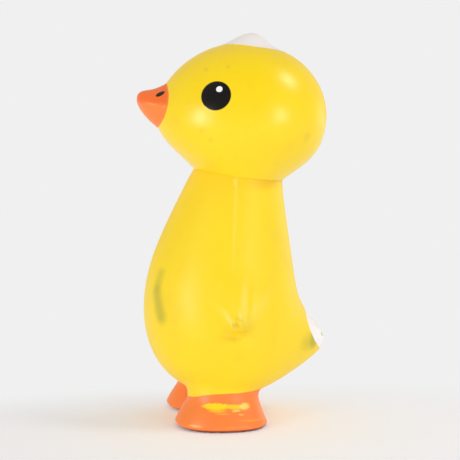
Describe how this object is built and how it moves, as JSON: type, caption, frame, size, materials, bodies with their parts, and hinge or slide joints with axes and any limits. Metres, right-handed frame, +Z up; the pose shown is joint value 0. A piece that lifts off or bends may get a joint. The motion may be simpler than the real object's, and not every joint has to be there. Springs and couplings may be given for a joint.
{
  "type": "vinyl chick figure",
  "caption": "Hollow soft-vinyl chick figure with an orange beak and flared feet, a white crown peak and tail tip, and a head that turns on a plug in the neck.",
  "frame": {"origin": "centre of the figure's box, on the surface it stands on", "axes": "+X to the chick's left, -Y the way it faces, +Z up"},
  "size_m": [0.0694, 0.0799, 0.1611],
  "materials": {
    "body_vinyl": "satin, with painted feet and tail tip",
    "head_vinyl": "satin, with painted beak, eyes and crown"
  },
  "bodies": {
    "body": {"body": "body_vinyl"},
    "head": {"head": "head_vinyl"}
  },
  "joints": [
    {"name": "neck_swivel", "type": "hinge", "parent": "body", "child": "head", "pos_m": [0, 0.0022, 0.1026], "axis": [0, 0.1461, 0.9893], "continuous": true}
  ]
}
